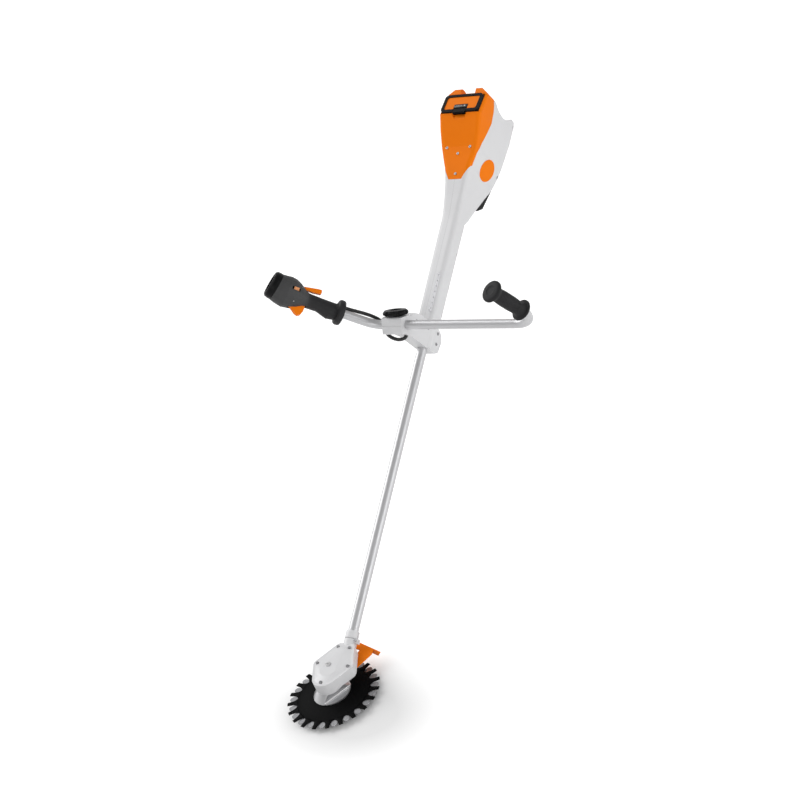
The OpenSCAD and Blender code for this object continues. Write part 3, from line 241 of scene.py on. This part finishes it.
def moulded_grain():
    """Fine even grain of a moulded or cast skin, as a height, with a slow drift of tone."""
    group = bpy.data.node_groups.new("moulded_grain", "ShaderNodeTree")
    group_socket(group, "Grain size", "NodeSocketFloat", "INPUT", 900.0, 1.0, 5000.0)
    group_socket(group, "Tone drift", "NodeSocketFloat", "INPUT", 0.05, 0.0, 1.0)
    group_socket(group, "Color", "NodeSocketColor", "INPUT", (0.5, 0.5, 0.5, 1))
    group_socket(group, "Color", "NodeSocketColor", "OUTPUT")
    group_socket(group, "Height", "NodeSocketFloat", "OUTPUT")
    group_socket(group, "Sheen spots", "NodeSocketFloat", "OUTPUT")
    n, link = group.nodes, group.links.new
    inlet, outlet = n.new("NodeGroupInput"), n.new("NodeGroupOutput")
    place = n.new("ShaderNodeTexCoord")
    grain = n.new("ShaderNodeTexNoise")
    grain.inputs["Detail"].default_value = 2.0
    link(place.outputs["Object"], grain.inputs["Vector"])
    link(inlet.outputs["Grain size"], grain.inputs["Scale"])
    slow = n.new("ShaderNodeTexNoise")
    slow.inputs["Scale"].default_value = 9.0
    slow.inputs["Detail"].default_value = 3.0
    link(place.outputs["Object"], slow.inputs["Vector"])
    spread = n.new("ShaderNodeMapRange")
    spread.inputs["From Min"].default_value = 0.3
    spread.inputs["From Max"].default_value = 0.7
    spread.inputs["To Min"].default_value = -1.0
    spread.inputs["To Max"].default_value = 1.0
    link(slow.outputs["Fac"], spread.inputs["Value"])
    amount = maths(group, "MULTIPLY_ADD", spread.outputs[0], inlet.outputs["Tone drift"], 1.0)
    tint = n.new("ShaderNodeVectorMath")
    tint.operation = "SCALE"
    link(inlet.outputs["Color"], tint.inputs[0])
    link(amount, tint.inputs["Scale"])
    link(tint.outputs[0], outlet.inputs["Color"])
    link(grain.outputs["Fac"], outlet.inputs["Height"])
    link(slow.outputs["Fac"], outlet.inputs["Sheen spots"])
    return group


def parting_line():
    """Narrow dark joint where two mouldings meet, along x = 0 of the given coordinates."""
    group = bpy.data.node_groups.new("parting_line", "ShaderNodeTree")
    group_socket(group, "Vector", "NodeSocketVector", "INPUT")
    group_socket(group, "Half width", "NodeSocketFloat", "INPUT", 0.0004, 0.0, 0.01)
    group_socket(group, "Darkness", "NodeSocketFloat", "INPUT", 0.5, 0.0, 1.0)
    group_socket(group, "Color", "NodeSocketColor", "INPUT", (0.5, 0.5, 0.5, 1))
    group_socket(group, "Color", "NodeSocketColor", "OUTPUT")
    group_socket(group, "Depth", "NodeSocketFloat", "OUTPUT")
    n, link = group.nodes, group.links.new
    inlet, outlet = n.new("NodeGroupInput"), n.new("NodeGroupOutput")
    parts = n.new("ShaderNodeSeparateXYZ")
    link(inlet.outputs["Vector"], parts.inputs[0])
    away = maths(group, "ABSOLUTE", parts.outputs["X"])
    share = maths(group, "DIVIDE", away, inlet.outputs["Half width"])
    mask = maths(group, "SUBTRACT", 1.0, share, clamp=True)
    shade = maths(group, "MULTIPLY", mask, inlet.outputs["Darkness"])
    keep = maths(group, "SUBTRACT", 1.0, shade)
    tint = n.new("ShaderNodeVectorMath")
    tint.operation = "SCALE"
    link(inlet.outputs["Color"], tint.inputs[0])
    link(keep, tint.inputs["Scale"])
    link(tint.outputs[0], outlet.inputs["Color"])
    link(maths(group, "SUBTRACT", 1.0, mask), outlet.inputs["Depth"])
    return group


GRAIN = moulded_grain()
JOINT = parting_line()


def in_frame(tree, place):
    """Object coordinates seen from one of the machine's own frames."""
    where = tree.nodes.new("ShaderNodeTexCoord")
    mapping = tree.nodes.new("ShaderNodeMapping")
    mapping.vector_type = "POINT"
    inverse = place.inverted()
    mapping.inputs["Location"].default_value = inverse.to_translation()
    mapping.inputs["Rotation"].default_value = inverse.to_euler()
    tree.links.new(where.outputs["Object"], mapping.inputs["Vector"])
    return mapping.outputs[0]


def plastic(name, colour, roughness, grain=900.0, depth=0.06, drift=0.03, gloss=0.5):
    """Moulded plastic or paint: fine grain, slightly uneven sheen."""
    material, tree, shader = new_material(name)
    n, link = tree.nodes, tree.links.new
    skin = n.new("ShaderNodeGroup")
    skin.name = "skin"
    skin.node_tree = GRAIN
    skin.inputs["Grain size"].default_value = grain
    skin.inputs["Tone drift"].default_value = drift
    skin.inputs["Color"].default_value = (*colour, 1)
    link(skin.outputs["Color"], shader.inputs["Base Color"])
    sheen = n.new("ShaderNodeMapRange")
    sheen.inputs["To Min"].default_value = roughness - 0.06
    sheen.inputs["To Max"].default_value = roughness + 0.08
    link(skin.outputs["Sheen spots"], sheen.inputs["Value"])
    link(sheen.outputs[0], shader.inputs["Roughness"])
    bump = n.new("ShaderNodeBump")
    bump.name = "bump"
    bump.inputs["Strength"].default_value = depth
    bump.inputs["Distance"].default_value = 0.0004
    link(skin.outputs["Height"], bump.inputs["Height"])
    link(bump.outputs[0], shader.inputs["Normal"])
    shader.inputs["Specular IOR Level"].default_value = gloss
    return material


def metal(name, colour, roughness, metallic=1.0, grain=500.0, depth=0.05, drift=0.06):
    """Bare or plated metal with the same fine grain."""
    material = plastic(name, colour, roughness, grain, depth, drift)
    material.node_tree.nodes["Principled BSDF"].inputs["Metallic"].default_value = metallic
    return material


def split_moulding(material, place, half_width=0.0004, darkness=0.5):
    """Adds the joint between two half shells, across x = 0 of that frame."""
    tree = material.node_tree
    shader = tree.nodes["Principled BSDF"]
    joint = tree.nodes.new("ShaderNodeGroup")
    joint.node_tree = JOINT
    joint.inputs["Half width"].default_value = half_width
    joint.inputs["Darkness"].default_value = darkness
    tree.links.new(in_frame(tree, place), joint.inputs["Vector"])
    tree.links.new(tree.nodes["skin"].outputs["Color"], joint.inputs["Color"])
    tree.links.new(joint.outputs["Color"], shader.inputs["Base Color"])
    groove = tree.nodes.new("ShaderNodeBump")
    groove.inputs["Strength"].default_value = 0.5
    groove.inputs["Distance"].default_value = 0.0003
    tree.links.new(joint.outputs["Depth"], groove.inputs["Height"])
    tree.links.new(tree.nodes["bump"].outputs[0], groove.inputs["Normal"])
    tree.links.new(groove.outputs[0], shader.inputs["Normal"])


def two_tone(material, place, edge, soft, near, far):
    """Blends from one colour to another along z of that frame, at the edge."""
    tree = material.node_tree
    parts = tree.nodes.new("ShaderNodeSeparateXYZ")
    tree.links.new(in_frame(tree, place), parts.inputs[0])
    step = tree.nodes.new("ShaderNodeMapRange")
    step.interpolation_type = "SMOOTHSTEP"
    step.inputs["From Min"].default_value = edge - soft
    step.inputs["From Max"].default_value = edge + soft
    tree.links.new(parts.outputs["Z"], step.inputs["Value"])
    mix = tree.nodes.new("ShaderNodeMix")
    mix.data_type = "RGBA"
    mix.inputs[6].default_value = (*near, 1)
    mix.inputs[7].default_value = (*far, 1)
    tree.links.new(step.outputs[0], mix.inputs[0])
    tree.links.new(mix.outputs[2], tree.nodes["skin"].inputs["Color"])


PLASTICS = {
    # colour, roughness, grain size, grain depth, drift of tone, gloss
    "blade_black": ((0.003, 0.003, 0.0032), 0.45, 400.0, 0.05, 0.06, 0.03),
    "case_paint": ((0.68, 0.68, 0.69), 0.4, 260.0, 0.12, 0.02),
    "orange_plastic": ((0.9, 0.2, 0.001), 0.5, 1100.0, 0.08, 0.02, 0.1),
    "bush_plastic": ((0.6, 0.5, 0.35), 0.5),
    "grip_rubber": ((0.015, 0.015, 0.016), 0.62, 700.0, 0.25, 0.08, 0.2),
    "handle_plastic": ((0.05, 0.05, 0.051), 0.52, 900.0, 0.2, 0.06, 0.22),
    "black_plastic": ((0.006, 0.006, 0.0064), 0.42, 900.0, 0.15, 0.06, 0.08),
    "slider_plastic": ((0.72, 0.3, 0.12), 0.4),
    "cable_sheath": ((0.012, 0.012, 0.012), 0.45, 500.0, 0.15, 0.06),
    "housing_plastic": ((0.70, 0.70, 0.71), 0.42, 1000.0, 0.1, 0.015, 0.4),
    "rail_plastic": ((0.66, 0.66, 0.68), 0.45, 1000.0, 0.1, 0.015),
    "board": ((0.02, 0.08, 0.03), 0.5),
    "led_lens": ((0.55, 0.58, 0.58), 0.25, 400.0, 0.02, 0.02),
    "display_plastic": ((0.018, 0.02, 0.022), 0.35, 900.0, 0.1, 0.05),
}
METALS = {
    # colour, roughness, how metallic, grain size, grain depth, drift of tone
    "blade_steel": ((0.3, 0.3, 0.31), 0.42, 0.8, 500.0, 0.08),
    "ride_steel": ((0.55, 0.55, 0.56), 0.3, 0.9, 300.0, 0.05),
    "polished_steel": ((0.93, 0.93, 0.93), 0.3, 0.6),
    "bright_steel": ((0.66, 0.66, 0.66), 0.3),
    "gear_steel": ((0.4, 0.4, 0.41), 0.35),
    "bronze": ((0.6, 0.4, 0.18), 0.4),
    "bearing_steel": ((0.6, 0.6, 0.6), 0.2),
    "screw_steel": ((0.34, 0.34, 0.35), 0.4, 0.8),
    "tube_aluminium": ((0.5, 0.5, 0.51), 0.4, 0.55, 700.0, 0.04, 0.02),
    "stator_iron": ((0.2, 0.1, 0.05), 0.5),
    "rotor_iron": ((0.3, 0.3, 0.31), 0.4),
}
HANDLE_GRIP_TONE = (0.017, 0.017, 0.018)
HANDLE_HEAD_TONE = (0.052, 0.052, 0.053)

FINISH = {name: plastic(name, *look) for name, look in PLASTICS.items()}
FINISH.update({name: metal(name, *look) for name, look in METALS.items()})
split_moulding(FINISH["housing_plastic"], MACHINE)
split_moulding(FINISH["handle_plastic"], HANDLE, half_width=0.0005, darkness=0.7)
two_tone(FINISH["handle_plastic"], HANDLE, edge=0.2, soft=0.012,
         near=HANDLE_GRIP_TONE, far=HANDLE_HEAD_TONE)

for part in frame["record"]["subparts"]:
    mesh = nodes[part["node"]].data
    mesh.materials.clear()
    mesh.materials.append(FINISH[part["material_slot"]])


# ---------------------------------------------------------------- modelling by hand

def select(*pieces):
    """Selects just these, the first one active."""
    deselect()
    for piece in pieces:
        piece.select_set(True)
    bpy.context.view_layer.objects.active = pieces[0]


def edit(kind="VERT"):
    """Edit mode, with corners, edges or faces to be picked."""
    bpy.ops.object.mode_set(mode="EDIT")
    bpy.ops.mesh.select_mode(type=kind)


def leave_edit():
    bpy.ops.object.mode_set(mode="OBJECT")


def finish_piece(obj, name, place, material, body):
    """Puts the piece in its place, smooths it and lets it ride."""
    obj.name = obj.data.name = name
    select(obj)
    obj.matrix_world = place @ Matrix.Scale(0.001, 4) @ obj.matrix_world
    bpy.ops.object.transform_apply(location=True, rotation=True, scale=True)
    bpy.ops.object.shade_smooth_by_angle(angle=math.radians(40))
    obj.data.materials.clear()
    obj.data.materials.append(material)
    if body:
        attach(obj, body)
    deselect()
    return obj


def close_ends():
    """Puts a face on every open rim, in edit mode."""
    bpy.ops.mesh.select_all(action="DESELECT")
    bpy.ops.mesh.select_non_manifold()
    bpy.ops.mesh.edge_face_add()


def turned(profile, sides=64, open_ends=False):
    """A skin turned about z from (radius, z) points: one ring, extruded and scaled from point to point."""
    deselect()
    radius, z = profile[0]
    bpy.ops.mesh.primitive_circle_add(vertices=sides, radius=radius, location=(0, 0, z),
                                      fill_type="NOTHING")
    obj = bpy.context.object
    bpy.ops.object.transform_apply(location=True)
    edit()
    bpy.ops.mesh.select_all(action="SELECT")
    for next_radius, next_z in profile[1:]:
        bpy.ops.mesh.extrude_region_move(TRANSFORM_OT_translate={"value": (0, 0, next_z - z)})
        share = next_radius / radius
        bpy.ops.transform.resize(value=(share, share, 1), center_override=(0, 0, next_z))
        radius, z = next_radius, next_z
    if not open_ends:
        close_ends()
    bpy.ops.mesh.select_all(action="SELECT")
    bpy.ops.mesh.remove_doubles(threshold=0.0001)
    bpy.ops.mesh.normals_make_consistent(inside=False)
    leave_edit()
    return obj


def slab(size, place, round_by, segments=3):
    """A bevelled block of that size, centred at that place."""
    deselect()
    bpy.ops.mesh.primitive_cube_add(size=1, location=place, scale=size)
    obj = bpy.context.object
    bpy.ops.object.transform_apply(location=True, rotation=True, scale=True)
    bevel = obj.modifiers.new("bevel", "BEVEL")
    bevel.width, bevel.segments = round_by, segments
    bpy.ops.object.modifier_apply(modifier="bevel")
    return obj


def joined(pieces):
    select(*pieces)
    bpy.ops.object.join()
    return pieces[0]


# ---------------------------------------------------------------- corrugated sleeve of the control cable

SLEEVE_ROUTE = [                     # across, up from the tube, along the tube
    (-136.2, 221.9, 1025.8), (-127.7, 211.7, 1026.4), (-109, 187, 1029), (-92, 168, 1030.5),
    (-76, 151, 1029.5), (-64, 137, 1026), (-55, 128, 1017), (-48, 123, 1005), (-41, 120, 994),
    (-31, 117, 986), (-20, 113, 982), (-8, 109, 980.5), (2, 106, 983), (8, 103.5, 988),
    (10, 102, 995), (10, 102, 1003)]
RIB_PITCH = 3.4
RIB_PROFILE = [(4.5, 0), (4.5, 0.6), (5.1, 1.1), (5.2, 1.7), (5.2, 2.2), (5.1, 2.8), (4.5, 3.2),
               (4.5, RIB_PITCH)]


def sleeve_guide():
    """The line that the sleeve follows, in millimetres."""
    data = bpy.data.curves.new("sleeve_guide", "CURVE")
    data.dimensions = "3D"
    data.resolution_u = 16
    line = data.splines.new("BEZIER")
    line.bezier_points.add(len(SLEEVE_ROUTE) - 1)
    for knot, (x, up, along) in zip(line.bezier_points, SLEEVE_ROUTE):
        knot.co = (x, -up, along)
        knot.handle_left_type = knot.handle_right_type = "AUTO"
    guide = bpy.data.objects.new("sleeve_guide", data)
    bpy.context.scene.collection.objects.link(guide)
    return guide, line


def cable_sleeve():
    """One rib of the sleeve, repeated along the line and bent to it."""
    guide, line = sleeve_guide()
    bpy.context.view_layer.update()
    length = line.calc_length()
    rib = turned(RIB_PROFILE, 20, open_ends=True)
    rib.rotation_euler = (0, math.pi / 2, 0)
    select(rib)
    bpy.ops.object.transform_apply(location=True, rotation=True, scale=True)
    array = rib.modifiers.new("ribs", "ARRAY")
    array.count = int(length / RIB_PITCH)
    array.use_relative_offset = False
    array.use_constant_offset = True
    array.constant_offset_displace = (RIB_PITCH, 0, 0)
    array.use_merge_vertices = True
    array.merge_threshold = 0.01
    bpy.ops.object.modifier_apply(modifier="ribs")
    edit("EDGE")
    close_ends()
    bpy.ops.mesh.select_all(action="SELECT")
    bpy.ops.mesh.normals_make_consistent(inside=False)
    leave_edit()
    bend = rib.modifiers.new("bend", "CURVE")
    bend.object = guide
    bend.deform_axis = "POS_X"
    bpy.ops.object.modifier_apply(modifier="bend")
    bpy.data.objects.remove(guide, do_unlink=True)
    sleeve = finish_piece(rib, "cable_sleeve", TUBE, FINISH["cable_sheath"], None)
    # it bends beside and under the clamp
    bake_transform(sleeve)
    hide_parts("cable_upper", "cable_lower")


cable_sleeve()


# ---------------------------------------------------------------- left grip

def grip_profile():
    """Two lipped collars with a waisted, ribbed body between them."""
    points = [(12.6, 0), (25, 0), (27.8, 0.7), (29, 2.4), (29, 4.6), (27.9, 6.2), (25, 7.2),
              (22.2, 8.8), (20.3, 11.6), (19, 16), (18.5, 21)]
    z, pitch, depth = 24.0, 4.6, 0.55
    waist, swell = 18.5, 1.5
    while z < 95:
        skin = waist + swell * min(1.0, (z - 20) / 25, (98 - z) / 23)
        points += [(skin - depth, z), (skin, z + 0.7), (skin, z + pitch - 1.5),
                   (skin - depth, z + pitch - 0.8)]
        z += pitch
    return points + [(18.5, 99.5), (20.2, 105.5), (23.4, 109.8), (27, 111.8), (29.6, 114), (30, 117),
                     (29.2, 120), (26.6, 122.3), (22, 123.4), (14, 124), (13, 123.2), (4, 123.2)]


GRIP_FROM = 79.2
left_grip = finish_piece(turned(grip_profile()), "left_grip_skin", GRIP @ move(0, 0, GRIP_FROM),
                         FINISH["grip_rubber"], "handlebar")
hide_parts("left_grip")


# ---------------------------------------------------------------- battery's charge display

def charge_display():
    """Dark tile with four charge windows and a round button."""
    row = -10.6
    tile = slab((43, 11.5, 3.4), (0, row, 1.9), 1.1)
    finish_piece(tile, "charge_display", BATTERY, FINISH["display_plastic"], "battery")
    first_window, window_pitch = -12.5, 5.2
    windows = [slab((2.6, 1.7, 0.8), (first_window + window_pitch * i, row, 3.7), 0.3, 2)
               for i in range(4)]
    finish_piece(joined(windows), "charge_windows", BATTERY, FINISH["led_lens"], "battery")
    button = turned([(2.6, 3.2), (2.6, 4.0), (2.3, 4.4), (1.2, 4.5)], 24)
    button.location = (12.5, row, 0)
    finish_piece(button, "charge_button", BATTERY, FINISH["led_lens"], "battery")


charge_display()


# ---------------------------------------------------------------- hub shield's folded step

STEP = turn("Z", -27)                # the step looks forward and to the operator's left
step_edge = slab((1.8, 82, 4.6), (26.6, 0, 26.0), 0.7)
finish_piece(step_edge, "shield_step", STEP, FINISH["polished_steel"], "machine")


# ---------------------------------------------------------------- upper blade

TEETH = 21
DISC_PROFILE = [
    (13.05, 19.8), (13.05, 21.4), (45, 21.45), (60, 20.4), (80, 17.7), (92, 16.35), (98, 16), (101, 16),
    (101.4, 15.7), (101.4, 14.5), (101, 14.2), (98, 14.2), (92, 14.6), (80, 15.9), (60, 18.6),
    (45, 19.7), (13.05, 19.8)]
TOOTH_THICKNESS = 1.8
TOOTH_HEIGHT = 15.1                  # the tooth's middle above the ground
TOOTH_WIDTHS = [(101, 25), (103.5, 20.4), (106.5, 17), (111, 14.4), (118, 12.6), (127.6, 11.2)]


def blade_tooth():
    """One blunt tooth, extruded outwards from the wide root that the disc covers."""
    root = 3
    (reach, width), *steps = TOOTH_WIDTHS
    deselect()
    bpy.ops.mesh.primitive_cube_add(size=1, location=(reach - root / 2, 0, TOOTH_HEIGHT),
                                    scale=(root, width, TOOTH_THICKNESS))
    tooth = bpy.context.object
    bpy.ops.object.transform_apply(location=True, rotation=True, scale=True)
    for next_reach, next_width in steps:
        edit("FACE")
        bpy.ops.mesh.select_all(action="DESELECT")
        leave_edit()
        tip = max(tooth.data.polygons, key=lambda face: face.center.x)
        tip.select = True
        edit("FACE")
        bpy.ops.mesh.extrude_region_move(TRANSFORM_OT_translate={"value": (next_reach - reach, 0, 0)})
        bpy.ops.transform.resize(value=(1, next_width / width, 1),
                                 center_override=(next_reach, 0, TOOTH_HEIGHT))
        leave_edit()
        reach, width = next_reach, next_width
    bevel = tooth.modifiers.new("bevel", "BEVEL")
    bevel.width, bevel.segments, bevel.limit_method = 0.35, 2, "ANGLE"
    bpy.ops.object.modifier_apply(modifier="bevel")
    return tooth


def upper_blade():
    """Dished disc with its teeth, each a copy of the first."""
    disc = turned(DISC_PROFILE, 6 * TEETH, open_ends=True)
    first = blade_tooth()
    teeth = []
    for index in range(TEETH):
        tooth = first.copy()
        tooth.data = first.data.copy()
        bpy.context.scene.collection.objects.link(tooth)
        tooth.rotation_euler = (0, 0, 2 * math.pi * index / TEETH)
        teeth.append(tooth)
    bpy.data.objects.remove(first, do_unlink=True)
    select(*teeth)
    bpy.ops.object.transform_apply(location=True, rotation=True, scale=True)
    blade = finish_piece(joined([disc] + teeth), "upper_blade_skin", MACHINE,
                         FINISH["blade_black"], "upper_cutter")
    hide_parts("upper_blade")


upper_blade()


# ---------------------------------------------------------------- knob's cap

CAP_PROFILE = [(12.2, 37.6), (12.2, 38.6), (11.6, 39.4), (8.6, 39.9), (8.2, 39.2), (3, 39.2)]
knob_cap = turned(CAP_PROFILE, 48)
finish_piece(knob_cap, "knob_cap", CLAMP, FINISH["grip_rubber"], "knob")
